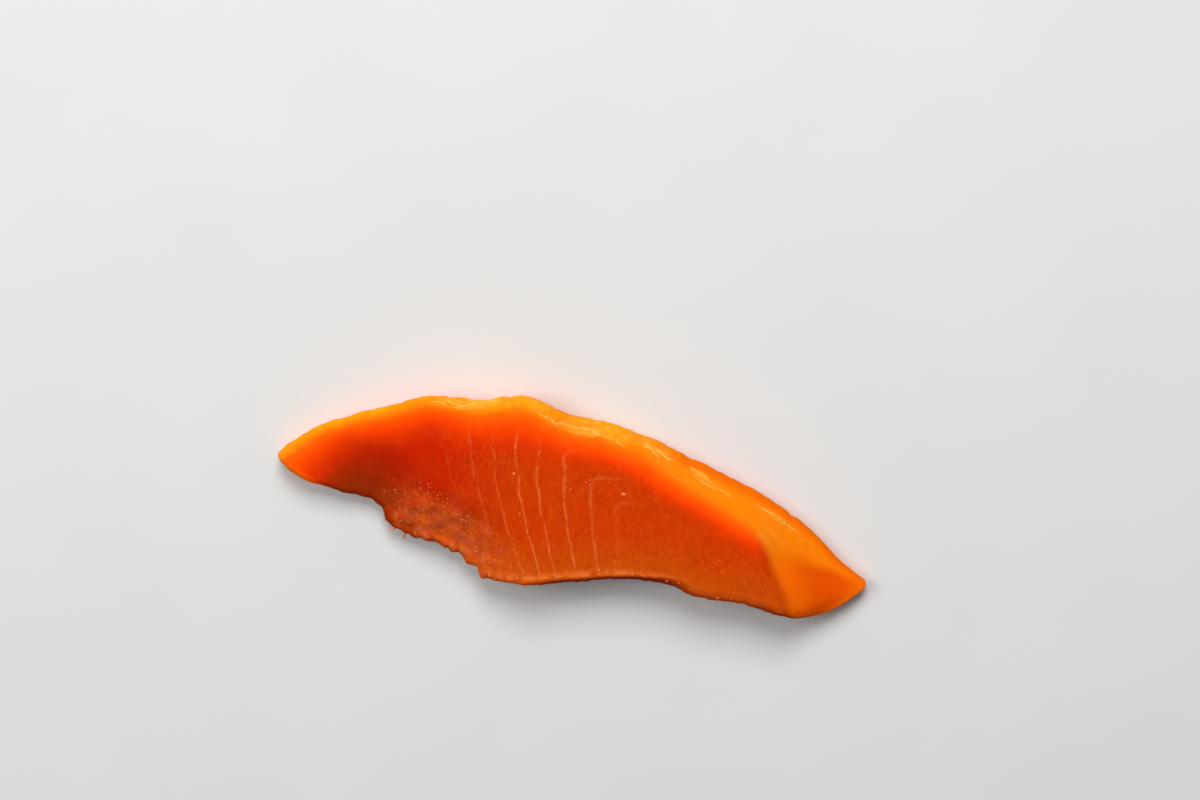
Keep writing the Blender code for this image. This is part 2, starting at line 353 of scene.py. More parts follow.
def grid_block():
    """A closed block of quads, and the place of each of its points from 0 to 1 along, across and up."""
    bm = bmesh.new()
    bmesh.ops.create_cube(bm, size=2.0)
    for axis, faces in enumerate((ALONG, ACROSS, UP)):
        edges = [e for e in bm.edges if abs(e.verts[0].co[axis] - e.verts[1].co[axis]) > 1.0]
        bmesh.ops.subdivide_edges(bm, edges=edges, cuts=faces - 1, use_grid_fill=True)
    mesh = bpy.data.meshes.new("salmon_flesh_slice")
    bm.to_mesh(mesh)
    bm.free()
    block = np.empty(len(mesh.vertices) * 3)
    mesh.vertices.foreach_get("co", block)
    return mesh, (block.reshape(-1, 3).T + 1) / 2


slice_mesh, (u, v, up) = grid_block()
on_edge = (np.minimum(u, v) < 1e-4) | (np.maximum(u, v) > 1 - 1e-4)
u, v, up = crowd(u), crowd(v), crowd(up)
plan = place_in((u, v), up)
above = place_in((u, v), 1.0)  # the point of the upper surface that each point lies below
past = past_ridge(above)
height = up * top_height(above, on_edge, past)

# The outline's own middle isn't quite the box's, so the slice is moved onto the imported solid's.
solid_low, solid_high = (np.array(corner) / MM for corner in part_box("salmon_slice"))
middle = (plan.min(axis=0) + plan.max(axis=0)) / 2 - (solid_low + solid_high)[:2] / 2
slice_mesh.vertices.foreach_set("co", np.column_stack([plan - middle, height]).ravel() * MM)
slice_mesh.shade_smooth()
flesh_slice = bpy.data.objects.new("salmon_flesh_slice", slice_mesh)
bpy.context.scene.collection.objects.link(flesh_slice)


def paint(name, values):
    """Keeps one number for each point of the slice, which its material reads by this name."""
    slice_mesh.attributes.new(name, "FLOAT", "POINT").data.foreach_set("value", values)


TORN_COLOUR_SHIFT = (4.0, -2.0)  # how far along the tear its pale colours and loose bits lie
TORN_COLOUR_REACH = (0.0, 1.7)  # the shares of the tear's size over which those colours fade out

# Light passes through the flesh round the thin tip, along the upper edge and high on the skin side, and
# this glow is painted into the colour as orange. Each row is x and y on that line, and how far into the
# slice its painted orange reaches.
LIGHT_LINE = [
    (-46.0, -7.6, 1.5),
    (-50.0, -6.9, 4.0),
    (-52.6, -6.0, 7.0),
    (-53.9, -4.5, 8.5),
    (-50.2, 1.1, 7.5),
    (-43.1, 6.2, 6.0),
    (-35.5, 10.2, 6.2),
    (-28.8, 13.6, 6.0),
    (-20.3, 14.8, 8.0),
    (-12.2, 17.1, 9.8),
    (-3.5, 15.2, 9.0),
    (3.0, 13.6, 6.4),
    (10.7, 12.5, 6.5),
    (16.6, 10.6, 8.0),
    (22.7, 8.3, 8.0),
    (29.8, 5.4, 8.0),
    (36.0, 3.0, 6.0),
    (44.1, -0.9, 2.6),
    (53.4, -4.6, 0.9),
]
LIGHT_STEP = 0.6  # spacing of the points that the light's depth is measured from
DEEPEST = 3.0  # the depth, in reaches, past which no colour changes
light_line = curve_through(LIGHT_LINE, np.arange(0.0, chord_length(LIGHT_LINE), LIGHT_STEP), closed=False)
depth = np.full(len(plan), DEEPEST)
for lit_x, lit_y, reach in light_line:
    depth = np.minimum(depth, np.hypot(plan[:, 0] - lit_x, plan[:, 1] - lit_y) / reach)
paint("depth", depth)
paint("past_ridge", past)
paint("from_belly", from_belly(plan))
paint("torn", torn(plan - TORN_COLOUR_SHIFT, *TORN_COLOUR_REACH))
paint("from_skin", from_slant_edge(plan))
SHADED_BEFORE = 8.0  # how far before the thick end's corner the shade along its foot sets in
end_rim = rim(np.arange(CORNERS[1] - SHADED_BEFORE, SHARP_TIP, EDGE_STEP), 1.0)
paint("from_end", nearest(plan, end_rim)[0])

# Pale streaks along the skin side and the crest, where the thin sheet under the skin still clings: their
# colour is partly that sheet and partly a painted highlight, soft round the strands built on them below.
# Each row is how wide a streak is, and the points that it runs through.
PALE_STREAKS = [
    (1.6, [(-6.0, 14.0), (-3.4, 13.6), (-1.2, 13.5), (2.0, 13.0)]),
    (0.6, [(-9.6, 15.3), (-7.6, 14.6), (-5.4, 13.5)]),
    (0.7, [(1.6, 13.0), (4.0, 12.5), (6.6, 11.8)]),
    (0.6, [(8.4, 13.1), (10.8, 12.0), (13.3, 10.5)]),
    (0.9, [(12.0, 11.9), (13.9, 11.0), (15.6, 10.6)]),
    (0.8, [(18.3, 10.0), (20.6, 9.2), (22.8, 8.1)]),
    (0.6, [(19.6, 8.8), (22.0, 7.7), (24.4, 7.0)]),
    (0.6, [(24.4, 7.3), (25.5, 6.9), (26.6, 6.3)]),
    (0.7, [(30.9, 5.7), (34.2, 4.5), (37.4, 3.0), (40.2, 1.6)]),
    (0.9, [(-27.2, 13.5), (-23.6, 13.4), (-19.6, 14.3), (-16.6, 15.6)]),
    (0.6, [(-28.6, 12.6), (-27.0, 13.2), (-24.8, 12.9)]),
]
STREAK_BREADTH = 0.75  # half the breadth of a streak's colour, as a share of the row's width
STREAK_END = 0.05  # how far into its taper a streak begins and ends
streak = np.zeros(len(plan))
for width, points in PALE_STREAKS:
    line = curve_through(points, np.arange(0.0, chord_length(points), EDGE_STEP), closed=False)
    close = np.all((plan > line.min(axis=0) - width) & (plan < line.max(axis=0) + width), axis=1)
    distance, j = nearest(plan[close], line)
    taper = np.sin(np.pi * (STREAK_END + (1 - 2 * STREAK_END) * j / len(line)))
    streak[close] = np.maximum(streak[close], 1 - distance / (STREAK_BREADTH * width * taper))
paint("streak", streak)

# Thin sheets of fat part the blocks of muscle. On the cut face they show as nested lines, which run down
# to the belly and turn over along the ridge. Each row is how far out a line lies and how plain it is.
FAT_LINES = [
    (8.4, 0.10),
    (13.0, 0.25),
    (17.6, 0.55),
    (22.4, 0.75),
    (26.8, 0.95),
    (30.3, 1.00),
    (34.2, 0.50),
    (38.0, 0.45),
    (42.5, 0.12),
]
LINE_MARGIN = 2.0  # how far before the first line and past the last one no fat shows at all
LINE_BEND = 6.0  # over how many millimetres a line turns from across the slice to along it

# How far out each point lies: counted towards the thin tip where the lines run across the slice, towards
# the ridge where they run along it, and the larger of the two, rounded off, where they bend.
x, y = plan.T
leftward = 20.5 - x - (0.26 - 0.0096 * x) * y + 0.0128 * y * y
upward = 1.3 * (y + 7.1)
share = np.clip(0.5 + (leftward - upward) / LINE_BEND, 0.0, 1.0)
level = upward + (leftward - upward) * share + 0.5 * LINE_BEND * share * (1 - share)
before, after = (FAT_LINES[0][0] - LINE_MARGIN, 0.0), (FAT_LINES[-1][0] + LINE_MARGIN, 0.0)
levels, plainness = np.array([before, *FAT_LINES, after]).T
counted = [-0.5, *range(len(FAT_LINES)), len(FAT_LINES) - 0.5]
paint("fat_level", np.interp(level, levels, counted))
shown = np.interp(level, levels, plainness) * (1 - ramp(2.0, 7.0, upward - leftward))
paint("fat_plainness", shown * ramp(0.5, 4.0, from_belly(plan)) * (1 - 0.7 * torn(plan)))


class Value:
    """A shader socket whose sums add Math nodes, so that shader maths reads as maths."""

    def __init__(self, finish, socket):
        self.finish, self.socket = finish, socket

    def _math(self, operation, *inputs):
        return self.finish.add("ShaderNodeMath", {"operation": operation}, dict(enumerate(inputs)))

    def __add__(self, other):
        return self._math("ADD", self, other)

    def __sub__(self, other):
        return self._math("SUBTRACT", self, other)

    def __rsub__(self, other):
        return self._math("SUBTRACT", other, self)

    def __mul__(self, other):
        return self._math("MULTIPLY", self, other)

    def __abs__(self):
        return self._math("ABSOLUTE", self)

    def floor(self):
        return self._math("FLOOR", self)

    def rise(self, low, high):
        """0 below low, 1 above high, and a smooth rise between them."""
        return self.finish.add(
            "ShaderNodeMapRange", {"interpolation_type": "SMOOTHSTEP"}, {0: self, 1: low, 2: high}
        )

    __radd__, __rmul__ = __add__, __mul__


class Finish:
    """A material, whose nodes all come from add()."""

    def __init__(self, name, **constants):
        self.material = bpy.data.materials.new(name)
        self.material.use_nodes = True
        self.tree = self.material.node_tree
        self.shader = self.tree.nodes["Principled BSDF"]
        for socket, value in constants.items():
            self.set(socket.replace("_", " ").title().replace("Ior", "IOR"), value)

    def add(self, kind, settings, sockets, output=0):
        """One node: its settings, or a ramp's stops, and then the values and links of its sockets."""
        node = self.tree.nodes.new(kind)
        for name, value in settings.items():
            if name == "stops":
                elements = node.color_ramp.elements
                for position, _ in value[2:]:
                    elements.new(position)
                for element, (position, colour) in zip(elements, value):
                    element.position, element.color = position, (*colour, 1.0)
            else:
                setattr(node, name, value)
        for name, value in sockets.items():
            self.put(node.inputs[name], value)
        return Value(self, node.outputs[output])

    def put(self, socket, value):
        if isinstance(value, Value):
            self.tree.links.new(value.socket, socket)
        else:
            socket.default_value = value

    def set(self, name, value):
        self.put(self.shader.inputs[name], value)

    def painted(self, name):
        """The number that paint() kept for each point of the slice."""
        return self.add("ShaderNodeAttribute", {"attribute_name": name}, {}, "Fac")

    def millimetres(self, stretch=(1.0, 1.0, 1.0), turn=0.0):
        """Where a point lies, in millimetres, for textures. Features grow by stretch along x, y and z."""
        place = self.add("ShaderNodeTexCoord", {}, {}, "Object")
        return self.add(
            "ShaderNodeMapping",
            {"vector_type": "TEXTURE"},
            {"Vector": place, "Rotation": (0.0, 0.0, turn), "Scale": tuple(s * MM for s in stretch)},
        )

    def speckle(self, size, detail=2.0, roughness=0.5, **where):
        """Noise from 0 to 1 with features of this size in millimetres."""
        return self.add(
            "ShaderNodeTexNoise",
            {},
            {
                "Vector": self.millimetres(**where),
                "Scale": 1.0 / size,
                "Detail": detail,
                "Roughness": roughness,
            },
        )

    def mix(self, first, second, share):
        """From the first colour to the second as share goes from 0 to 1."""
        pair = {0: share}
        for i, colour in ((6, first), (7, second)):
            pair[i] = colour if isinstance(colour, Value) else (*colour, 1.0)
        return self.add("ShaderNodeMix", {"data_type": "RGBA"}, pair, 2)

    def bump(self, height, distance, normal=None):
        """Bumps, where a height of 1 stands for this distance in millimetres."""
        sockets = {"Height": height, "Distance": distance * MM, "Strength": 1.0}
        if normal:
            sockets["Normal"] = normal
        return self.add("ShaderNodeBump", {}, sockets)


# The light that passes through raw flesh is painted into its colour: orange where it is thin or lit
# through, deep red where it is thick.
# Each row of the ramp is a depth, as a share of twice the light's reach, and the colour there.
LIT_RAMP = [
    (0.0, (0.95, 0.33, 0.006)),
    (0.07, (0.95, 0.22, 0.003)),
    (0.14, (0.96, 0.13, 0.002)),
    (0.24, (0.95, 0.074, 0.0015)),
    (0.32, (0.88, 0.050, 0.001)),
    (0.42, (0.73, 0.034, 0.001)),
    (0.65, (0.62, 0.022, 0.001)),
]
# Painted shade on the cut face where it tilts away from the light: towards the thin tip, and darkest near
# the belly edge there.
SHADED_FACE_RED = (0.56, 0.016, 0.001)
SHADED_BELLY_RED = (0.31, 0.027, 0.002)
FACE_RED = (0.62, 0.045, 0.001)
BELLY_RED = (0.58, 0.080, 0.002)
MOTTLED_RED = (0.42, 0.018, 0.001)
TORN_BROWN = (0.73, 0.122, 0.009)
TORN_MAUVE = (0.60, 0.085, 0.032)
TORN_PINK = (0.92, 0.24, 0.070)
TORN_GAP = (0.56, 0.046, 0.004)
STROKE_RED = (0.86, 0.115, 0.006)
FAT = (0.84, 0.19, 0.045)
RIM_ORANGE = (0.80, 0.17, 0.025)
LIT_SLANT = (0.94, 0.22, 0.003)
SLANT_FOOT = (0.93, 0.15, 0.002)
END_LIT = (0.96, 0.15, 0.001)
SHADED_END_ORANGE = (0.78, 0.085, 0.001)
SHADED_RIM = (0.20, 0.007, 0.001)
CONNECTIVE_PALE = (0.97, 0.46, 0.06)

flesh = Finish(
    "salmon_flesh",
    metallic=0.0,
    subsurface_weight=0.30,
    subsurface_radius=(1.0, 0.25, 0.08),
    subsurface_scale=3.0 * MM,
    specular_ior_level=0.0,
    coat_roughness=0.14,
)
depth, past, torn_share = (flesh.painted(name) for name in ("depth", "past_ridge", "torn"))
belly, from_skin, from_end = (flesh.painted(name) for name in ("from_belly", "from_skin", "from_end"))
fat_level, fat_plainness = flesh.painted("fat_level"), flesh.painted("fat_plainness")
along = flesh.add("ShaderNodeSeparateXYZ", {}, {"Vector": flesh.millimetres()}, "X")

mottle = flesh.speckle(5.0, detail=3.0)
patches = flesh.speckle(1.6, detail=3.0, roughness=0.6)
grain = flesh.speckle(0.40, roughness=0.6)
fibres = flesh.speckle(0.35, stretch=(1.0, 5.0, 1.0), turn=np.radians(12))
shred_noise = flesh.speckle(
    1.1, detail=5.0, roughness=0.7, stretch=(1.5, 1.0, 1.0), turn=np.radians(-50)
)

# The cut face: darker red towards the thin tip and darkest near its belly edge there, which is painted
# shade where the face tilts away from the light; warmer towards the belly; and the painted glow where it
# is lit through along the light line.
face = flesh.mix(SHADED_FACE_RED, SHADED_BELLY_RED, 1.0 - (belly + (patches - 0.5) * 4.0).rise(1.0, 10.0))
face = flesh.mix(face, FACE_RED, (along + (mottle - 0.5) * 8.0).rise(-28.0, -9.0))
near_belly = (1.0 - belly.rise(1.0, 11.0)) * along.rise(-26.0, -10.0)
face = flesh.mix(face, BELLY_RED, near_belly + (mottle - 0.5) * 0.3)
lit = depth + (mottle - 0.5) * 0.25 + (patches - 0.5) * 0.12
ramp_colour = flesh.add("ShaderNodeValToRGB", {"stops": LIT_RAMP}, {"Fac": lit * 0.5})
# Pale patches close along the light line, away from the thin tip: painted highlights.
painted_edge_highlight = (1.0 - depth.rise(0.03, 0.20)) * patches.rise(0.45, 0.70) * along.rise(-34.0, -20.0)
ramp_colour = flesh.mix(ramp_colour, CONNECTIVE_PALE, painted_edge_highlight * 0.7)
face = flesh.mix(ramp_colour, face, (lit + along.rise(-25.0, 0.0) * 0.4).rise(0.85, 1.5))
dark_spots = patches.rise(0.45, 0.75) * 0.35 + grain.rise(0.5, 0.8) * 0.25
face = flesh.mix(face, MOTTLED_RED, dark_spots * depth.rise(0.5, 1.2))
strokes = flesh.speckle(0.5, detail=4.0, roughness=0.7, stretch=(1.0, 2.6, 1.0), turn=np.radians(14))
plain_strokes = strokes.rise(0.50, 0.75) * along.rise(-32.0, -16.0) * depth.rise(0.4, 1.0)
face = flesh.mix(face, STROKE_RED, plain_strokes * 0.5)

# Along the lower rim, right of the tear: a lit orange edge, which fades to the right, and between it and
# the foot the shade of the undercut side.
drop = along.rise(-12.0, -2.0)
edge_glow = (belly - drop * 0.8).rise(0.7, 1.2) * (1.0 - (belly - drop * 0.6).rise(1.4, 2.8))
edge_glow = edge_glow * along.rise(-20.0, -10.0)
face = flesh.mix(face, RIM_ORANGE, edge_glow * patches.rise(0.3, 0.6) * (1.0 - along.rise(8.0, 30.0) * 0.8))
under = (1.0 - (belly - along.rise(8.0, 24.0) * 1.2 - patches * 0.4).rise(0.7, 1.5)) * along.rise(-7.0, 1.0)
face = flesh.mix(face, SHADED_RIM, under * (1.0 - along.rise(17.0, 25.0) * 0.7) * 0.9)

# The fat lines, which waver and fade in and out along their length.
waver = (flesh.speckle(5.0) - 0.5) * 0.35
nearest_line = abs(fat_level + waver - (fat_level + waver + 0.5).floor())
broken = flesh.speckle(2.2, detail=4.0, roughness=0.7).rise(0.32, 0.62)
line = (1.0 - nearest_line.rise(0.008, 0.095)) * broken * fat_plainness * depth.rise(0.45, 0.9)
face = flesh.mix(face, FAT, line * 0.72)

# The torn belly: blotches of brown and pinkish flesh, with finer shreds over them.
clumps = flesh.speckle(3.4, detail=4.0, roughness=0.7)
tear = (torn_share + (clumps - 0.5) * 1.4).rise(0.1, 1.0) * torn_share.rise(0.0, 0.5)
blotches = flesh.speckle(2.4, detail=4.0, roughness=0.6)
torn_colour = flesh.mix(TORN_GAP, TORN_BROWN, shred_noise.rise(0.34, 0.60))
torn_colour = flesh.mix(torn_colour, TORN_MAUVE, blotches.rise(0.44, 0.60) * 0.65)
torn_colour = flesh.mix(torn_colour, TORN_PINK, shred_noise.rise(0.54, 0.72) * clumps.rise(0.40, 0.60) * 0.6)
face = flesh.mix(face, torn_colour, tear * 0.9)

# Past the ridge: the skin side and the thick end, orange, with the painted glow along the light line and
# painted shade on the thick end further down from the crease, and pale sheets of connective tissue with
# painted highlights on them where the flesh is lit through.
end = flesh.mix(END_LIT, SHADED_END_ORANGE, (past + (mottle - 0.5) * 2.0).rise(1.5, 7.0))
slant = flesh.mix(LIT_SLANT, end, (depth + (mottle - 0.5) * 0.4).rise(0.30, 1.5))
slant = flesh.mix(slant, SLANT_FOOT, 1.0 - from_skin.rise(0.1, 0.9))
sheet_place = flesh.add("ShaderNodeCombineXYZ", {}, {"X": along * 0.10, "Y": from_skin * 1.9})
fine = flesh.add("ShaderNodeTexNoise", {}, {"Vector": sheet_place, "Scale": 1.0, "Detail": 3.0})
# Fine pale streaks on the slant, only where it is lit through: partly the thin sheets, partly painted
# highlights.
streaks = fine.rise(0.52, 0.68) * from_skin.rise(0.5, 1.5) * past.rise(0.4, 1.6)
streaks = streaks * (1.0 - depth.rise(0.35, 0.9))
slant = flesh.mix(slant, CONNECTIVE_PALE, streaks * (1.0 - along.rise(29.0, 37.0) * 0.7) * 0.45)
colour = flesh.mix(face, slant, (past + (patches - 0.5) * 0.8).rise(0.0, 1.8) * along.rise(4.0, 20.0))
# Round the skin-side strands: pale colour, partly the clinging sheet and partly painted highlight.
colour = flesh.mix(colour, CONNECTIVE_PALE, flesh.painted("streak") * fine.rise(0.35, 0.6) * 0.75)

# Shade on the lower sides, which tuck in under the slice, and along the foot of the thick end.
height = flesh.add("ShaderNodeSeparateXYZ", {}, {"Vector": flesh.millimetres()}, "Z")
shade = (1.0 - height.rise(0.5, 5.5)) * depth.rise(0.7, 1.5) * (1.0 - along.rise(20.0, 42.0)) * 0.9
colour = flesh.mix(colour, SHADED_RIM, shade)
end_shade = (1.0 - (from_end + (patches - 0.5) * 0.8).rise(0.3, 3.2)) * (1.0 - along.rise(44.5, 51.0))
colour = flesh.mix(colour, SHADED_RIM, end_shade * 0.6)
flesh.set("Base Color", colour)

# The wet film shines in soft patches, and the relief runs from fine grain to the shreds of the tear.
flesh.set("Roughness", 0.26 + mottle * 0.12 + tear * 0.06)
shine = 0.05 + flesh.speckle(2.5, detail=3.0).rise(0.45, 0.75) * 0.12
flesh.set("Coat Weight", shine * from_skin.rise(0.8, 3.0) * belly.rise(0.3, 1.5))
ripples = flesh.bump(grain, 0.035)
ripples = flesh.bump(fibres, 0.03, ripples)
ripples = flesh.bump(line, -0.06, ripples)
ripples = flesh.bump(streaks, 0.07, ripples)
flesh.set("Normal", flesh.bump(shred_noise * tear, 0.11, ripples))
slice_mesh.materials.append(flesh.material)

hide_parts("salmon_slice")
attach(flesh_slice, "root")

# ---------------------------------------------------------------------------------------------------
# Loose threads: strands of muscle and of the thin sheets between, pulled out where the belly tore. Some
# lie over the torn flesh, and some stick out past its ragged edge.
# ---------------------------------------------------------------------------------------------------

THREAD_SIDES, THREAD_STEPS = 6, 7
LYING_THREADS = 26
THREAD_LENGTHS, THREAD_WIDTHS = (0.5, 1.8), (0.06, 0.13)
PULL, STRAY = np.radians(-50), 0.4  # the way that the muscle was pulled, in plan, and how far threads stray
SINK = 0.05  # how far the threads' roots are sunk in the flesh
THREAD_ORANGE, THREAD_PALE = (0.76, 0.15, 0.02), (0.90, 0.32, 0.10)

# The ones that stick out at the edge: x, y, height, direction in degrees, length and width.
LONG_THREADS = [
    (-30.1, -12.1, 2.6, -145, 2.9, 1.20),
    (-28.4, -12.5, 2.6, -120, 3.0, 1.10),
    (-31.8, -11.2, 2.5, -158, 2.0, 0.80),
]

pick = np.random.default_rng(11)


def surface(points):
    """The height of the slice's upper surface at points in plan."""
    return top_height(points, np.zeros(len(points), bool), past_ridge(points))


def tube(path, radius, flatness=1.0):
    """The points and faces of a closed strand along a path, with its half width at each point."""
    way = np.gradient(path[:, :2], axis=0)
    way /= np.linalg.norm(way, axis=1)[:, None]
    sideways = np.column_stack([-way[:, 1], way[:, 0], np.zeros(len(path))])
    rings = []
    for angle in np.arange(THREAD_SIDES) * 2 * np.pi / THREAD_SIDES:
        spoke = np.cos(angle) * sideways + np.array([0.0, 0.0, flatness * np.sin(angle)])
        rings.append(path + radius[:, None] * spoke)
    points = np.stack(rings, axis=1).reshape(-1, 3)
    faces = [tuple(range(THREAD_SIDES))[::-1], tuple(range(len(points) - THREAD_SIDES, len(points)))]
    for i in range(0, len(points) - THREAD_SIDES, THREAD_SIDES):
        for k in range(THREAD_SIDES):
            after = (k + 1) % THREAD_SIDES
            faces.append((i + k, i + after, i + after + THREAD_SIDES, i + k + THREAD_SIDES))
    return points, faces


def thread(start, direction, length, width, arch, bend):
    """One tapered strand, which arches up and bends sideways."""
    t = np.linspace(0.0, 1.0, THREAD_STEPS)
    turned = direction + bend * t
    path = np.cumsum(np.column_stack([np.cos(turned), np.sin(turned)]), axis=0) * length / THREAD_STEPS
    path = np.column_stack([start[:2] + path - path[0], start[2] + arch * np.sin(np.pi * t)])
    return tube(path, 0.5 * width * (1 - t) ** 0.7 * (0.85 + 0.15 * np.cos(9 * t)) + 0.004)


def joined(name, parts, finish):
    """One piece from many small closed meshes, given in millimetres, on the slice's own middle."""
    points, faces, start = [], [], 0
    for part_points, part_faces in parts:
        points.append(part_points)
        faces += [tuple(start + i for i in face) for face in part_faces]
        start += len(part_points)
    placed = (np.vstack(points) - (*middle, 0.0)) * MM
    mesh = bpy.data.meshes.new(name)
    mesh.from_pydata(placed.tolist(), [], faces)
    mesh.shade_smooth()
    mesh.materials.append(finish.material)
    piece = bpy.data.objects.new(name, mesh)
    bpy.context.scene.collection.objects.link(piece)
    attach(piece, "root")


def torn_places(count):
    """Random points on the torn belly, closer together towards its middle."""
    spread = np.array([TORN_LENGTH, TORN_WIDTH]) * 1.2
    tried = pick.uniform(-1, 1, (count * 14, 2)) * spread  # far more than are kept below
    c, s = np.cos(TORN_TURN), np.sin(TORN_TURN)
    tried = np.column_stack([tried[:, 0] * c - tried[:, 1] * s, tried[:, 0] * s + tried[:, 1] * c])
    tried += np.add(TORN_CENTRE, TORN_COLOUR_SHIFT)
    belly_rim = rim(np.arange(0.0, CORNERS[1], EDGE_STEP), 1.0)
    distance, j = nearest(tried, belly_rim)
    inside = tried[:, 1] > belly_rim[j, 1]
    kept = inside & (distance > 0.5) & (pick.uniform(0, 1, len(tried)) < torn(tried - TORN_COLOUR_SHIFT))
    return tried[kept][:count]


lying = torn_places(LYING_THREADS)
threads = []
for (x, y), z in zip(lying, surface(lying)):
    length = pick.uniform(*THREAD_LENGTHS)
    direction = PULL + pick.normal(0, STRAY)
    width = pick.uniform(*THREAD_WIDTHS)
    bend = pick.normal(0, STRAY)
    threads.append(thread(np.array([x, y, z - SINK]), direction, length, width, 0.05 * length, bend))

for x, y, z, direction, length, width in LONG_THREADS:
    threads.append(thread(np.array([x, y, z]), np.radians(direction), length, width, 0.15, 0.5))

pale_thread = Finish(
    "pale_thread",
    roughness=0.28,
    subsurface_weight=0.5,
    subsurface_radius=(1.0, 0.5, 0.3),
    subsurface_scale=0.6 * MM,
    specular_ior_level=0.4,
)
paleness = pale_thread.speckle(1.5).rise(0.35, 0.65)
pale_thread.set("Base Color", pale_thread.mix(THREAD_ORANGE, THREAD_PALE, paleness))
pale_thread.set("Normal", pale_thread.bump(pale_thread.speckle(0.15), 0.02))
joined("torn_threads", threads, pale_thread)

# ---------------------------------------------------------------------------------------------------
# Skin-side strands: the thin pale sheet between the flesh and the skin, which came away with the skin
# but for a few shining strands along the slanting side and the crest.
# ---------------------------------------------------------------------------------------------------

STRAND_STEPS = 24
STRAND_SHARE, STRAND_FLATNESS = 0.22, 0.35  # of a streak's width, and of a strand's own
STRAND_SWAY, STRAND_UNEVEN = 0.12, 0.5  # how far it wanders sideways, and how much its width varies
STRAND_LIFT = 0.04  # how far its middle lies above the flesh
STRAND_ORANGE, STRAND_PALE = (0.97, 0.33, 0.01), (0.98, 0.50, 0.08)

strands = []
for width, points in PALE_STREAKS:
    t = np.linspace(0.0, 1.0, STRAND_STEPS)
    path = curve_through(points, t * chord_length(points), closed=False)
    path += STRAND_SWAY * np.column_stack([rough(path, 3.0, 61.0), rough(path, 3.0, 62.0)])
    uneven = 1 + STRAND_UNEVEN * rough(path, 0.9, 63.0)
    radius = STRAND_SHARE * width * np.sin(np.pi * (0.02 + 0.96 * t)) ** 0.6 * uneven
    path = np.column_stack([path, surface(path) + STRAND_LIFT])
    strands.append(tube(path, radius, STRAND_FLATNESS))

pale_strand = Finish(
    "pale_strand",
    roughness=0.25,
    subsurface_weight=0.6,
    subsurface_radius=(1.0, 0.5, 0.1),
    subsurface_scale=0.8 * MM,
    specular_ior_level=0.3,
)
paleness = pale_strand.speckle(1.2).rise(0.40, 0.65)
pale_strand.set("Base Color", pale_strand.mix(STRAND_ORANGE, STRAND_PALE, paleness))
pale_strand.set("Normal", pale_strand.bump(pale_strand.speckle(0.2), 0.02))
joined("skin_side_strands", strands, pale_strand)

# ---------------------------------------------------------------------------------------------------
# Fat specks: small pale grains of fat that the knife left on the cut face, thickest over the torn belly,
# with a string of them along the top of the tear. Those strung along the lower rim stand in for glints
# of the wet film there: pale beads as painted highlights.
# ---------------------------------------------------------------------------------------------------

SPECKS = [  # the plainest ones: x, y and width
    (7.9, 4.0, 0.72),
    (8.3, 4.1, 0.34),
    (1.1, 4.8, 0.40),
    (-1.3, 3.0, 0.30),
    (-8.4, 13.0, 0.30),
    (1.6, 5.3, 0.45),
    (-11.6, 3.7, 0.50),
    (-9.2, -3.4, 0.55),
    (6.4, -10.6, 0.45),
    # From here on, the ones along the lower rim stand in for glints of the wet film: painted highlights.
    (11.2, -10.2, 0.45),
    (12.4, -10.0, 0.40),
    (18.6, -10.0, 0.40),
    (28.0, -11.2, 0.45),
    (14.4, -9.9, 0.32),
    (16.2, -9.8, 0.26),
    (20.8, -9.9, 0.34),
    (3.6, -11.4, 0.30),
    (23.2, -10.6, 0.28),
    (30.4, -10.8, 0.24),
    (-7.4, -15.4, 0.60),
    (-6.0, -15.2, 0.45),
]
TORN_SPECKS, STRUNG_SPECKS = 95, 75
STRING_FROM, STRING_TO = (-28.5, -1.2), (-14.8, -9.0)  # the ends of the string above the tear
STRING_SPREAD = (0.8, 0.9)  # how far its specks stray along x and y
USUAL_SPECK, SPECK_VARIETY, WIDEST_SPECK = 0.17, 0.45, 0.32  # their widths, and how much these vary
SPECK_FLATNESS = 0.45
SPECK_ORANGE, SPECK_PALE = (0.80, 0.13, 0.02), (0.90, 0.28, 0.10)


def grains(places, sizes):
    """Small flat rounds, half sunk in the slice's surface, each about as wide as its size."""
    bm = bmesh.new()
    bmesh.ops.create_uvsphere(bm, u_segments=10, v_segments=6, radius=0.5)
    unit = np.array([vert.co for vert in bm.verts])
    # Blender lists a ball's faces in another order each run, so they are sorted.
    faces = sorted(tuple(vert.index for vert in face.verts) for face in bm.faces)
    bm.free()
    made = []
    for (x, y), z, size in zip(places, surface(places), sizes):
        uneven = pick.uniform(0.85, 1.18, 2)
        scale = np.array([*uneven, SPECK_FLATNESS]) * size
        made.append((unit * scale + (x, y, z), faces))
    return made


named = np.array(SPECKS)
strung = STRING_FROM + pick.uniform(0, 1, (STRUNG_SPECKS, 1)) * np.subtract(STRING_TO, STRING_FROM)
strung += pick.normal(0, STRING_SPREAD, strung.shape)
scattered = np.vstack([torn_places(TORN_SPECKS), strung])
places = np.vstack([named[:, :2], scattered])
sizes = pick.lognormal(np.log(USUAL_SPECK), SPECK_VARIETY, len(scattered))
sizes = np.concatenate([named[:, 2], np.minimum(sizes, WIDEST_SPECK)])

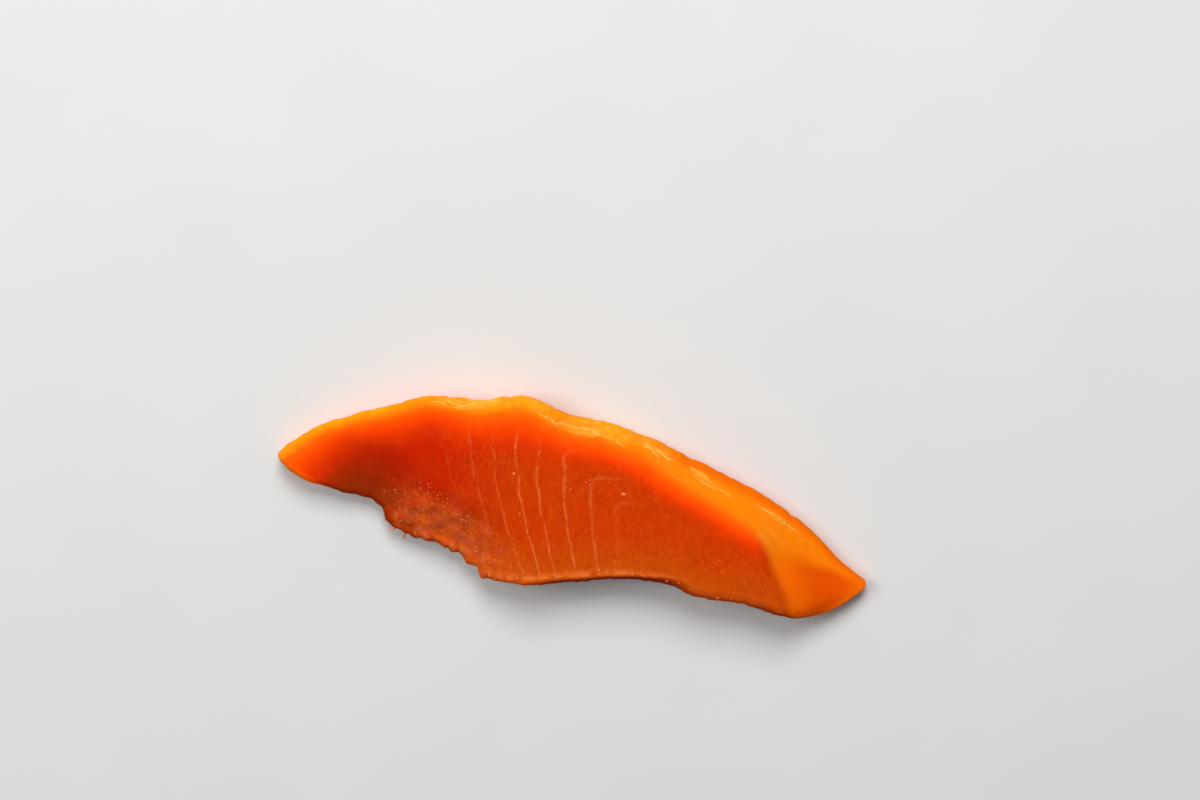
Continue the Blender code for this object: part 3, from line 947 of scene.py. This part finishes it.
fat_speck = Finish(
    "fat_speck",
    roughness=0.22,
    subsurface_weight=0.4,
    subsurface_radius=(1.0, 0.6, 0.4),
    subsurface_scale=0.5 * MM,
    specular_ior_level=0.25,
)
paleness = fat_speck.speckle(2.0).rise(0.4, 0.7)
fat_speck.set("Base Color", fat_speck.mix(SPECK_ORANGE, SPECK_PALE, paleness))
fat_speck.set("Normal", fat_speck.bump(fat_speck.speckle(0.1), 0.02))
joined("fat_specks_and_glints", grains(places, sizes), fat_speck)

# ---------------------------------------------------------------------------------------------------
# The floor, the lights and the camera. The camera looks down on the slice, leaning 15 degrees towards
# its skin side, with its picture turned so that the slice runs down to the right.
# ---------------------------------------------------------------------------------------------------

LEAN, ROLL = np.radians(15.0), np.radians(11.7)
LOOK_AT = Vector((0.50, 19.42, 6.0)) * MM
DISTANCE = 497.0 * MM
FLOOR_GREY, FLOOR_PALE = (0.70, 0.70, 0.69), (0.74, 0.74, 0.73)
WORLD_WHITE, WORLD_STRENGTH = (1.0, 1.0, 1.0, 1.0), 0.18

back = Vector((0.0, np.sin(LEAN), np.cos(LEAN)))
level_right, level_up = Vector((1.0, 0.0, 0.0)), Vector((0.0, np.cos(LEAN), -np.sin(LEAN)))
right = np.cos(ROLL) * level_right + np.sin(ROLL) * level_up
upright = np.cos(ROLL) * level_up - np.sin(ROLL) * level_right
camera = bpy.data.objects.new("camera", bpy.data.cameras.new("camera"))
camera.data.lens = 85.0
camera.data.sensor_width = 36.0
camera.data.clip_start = 10.0 * MM
turned = Matrix((right, upright, back)).transposed().to_4x4()
camera.matrix_world = Matrix.Translation(LOOK_AT + back * DISTANCE) @ turned
bpy.context.scene.collection.objects.link(camera)
bpy.context.scene.camera = camera

floor_mesh = bpy.data.meshes.new("floor")
bm = bmesh.new()
bmesh.ops.create_grid(bm, x_segments=8, y_segments=8, size=1.5)
bm.to_mesh(floor_mesh)
bm.free()
floor = bpy.data.objects.new("floor", floor_mesh)
bpy.context.scene.collection.objects.link(floor)
paper = Finish("pale_floor", roughness=0.7, specular_ior_level=0.2)
paper.set("Base Color", paper.mix(FLOOR_GREY, FLOOR_PALE, paper.speckle(30.0)))
floor_mesh.materials.append(paper.material)
floor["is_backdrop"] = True


def softbox(name, azimuth, elevation, distance, size, power):
    """A square soft light that faces the slice. Azimuth is from +X towards +Y; lengths in metres."""
    azimuth, elevation = np.radians((azimuth, elevation))
    away = Vector(
        (np.cos(azimuth) * np.cos(elevation), np.sin(azimuth) * np.cos(elevation), np.sin(elevation))
    )
    light = bpy.data.lights.new(name, "AREA")
    light.shape, light.size, light.energy = "SQUARE", size, power
    lamp = bpy.data.objects.new(name, light)
    lamp.location = away * distance
    lamp.rotation_euler = away.to_track_quat("Z", "Y").to_euler()
    bpy.context.scene.collection.objects.link(lamp)


softbox("key_light", 97.0, 46.0, 0.9, 0.40, 6.5)
softbox("side_light", 165.0, 50.0, 1.1, 0.55, 5.0)

world = bpy.data.worlds.new("studio")
bpy.context.scene.world = world
world.use_nodes = True
background = world.node_tree.nodes["Background"]
background.inputs["Color"].default_value = WORLD_WHITE
background.inputs["Strength"].default_value = WORLD_STRENGTH
bpy.context.scene.view_settings.view_transform = "Standard"

sizes = {"cad": [list(corner) for corner in cad_box], "visual": [list(corner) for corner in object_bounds()]}
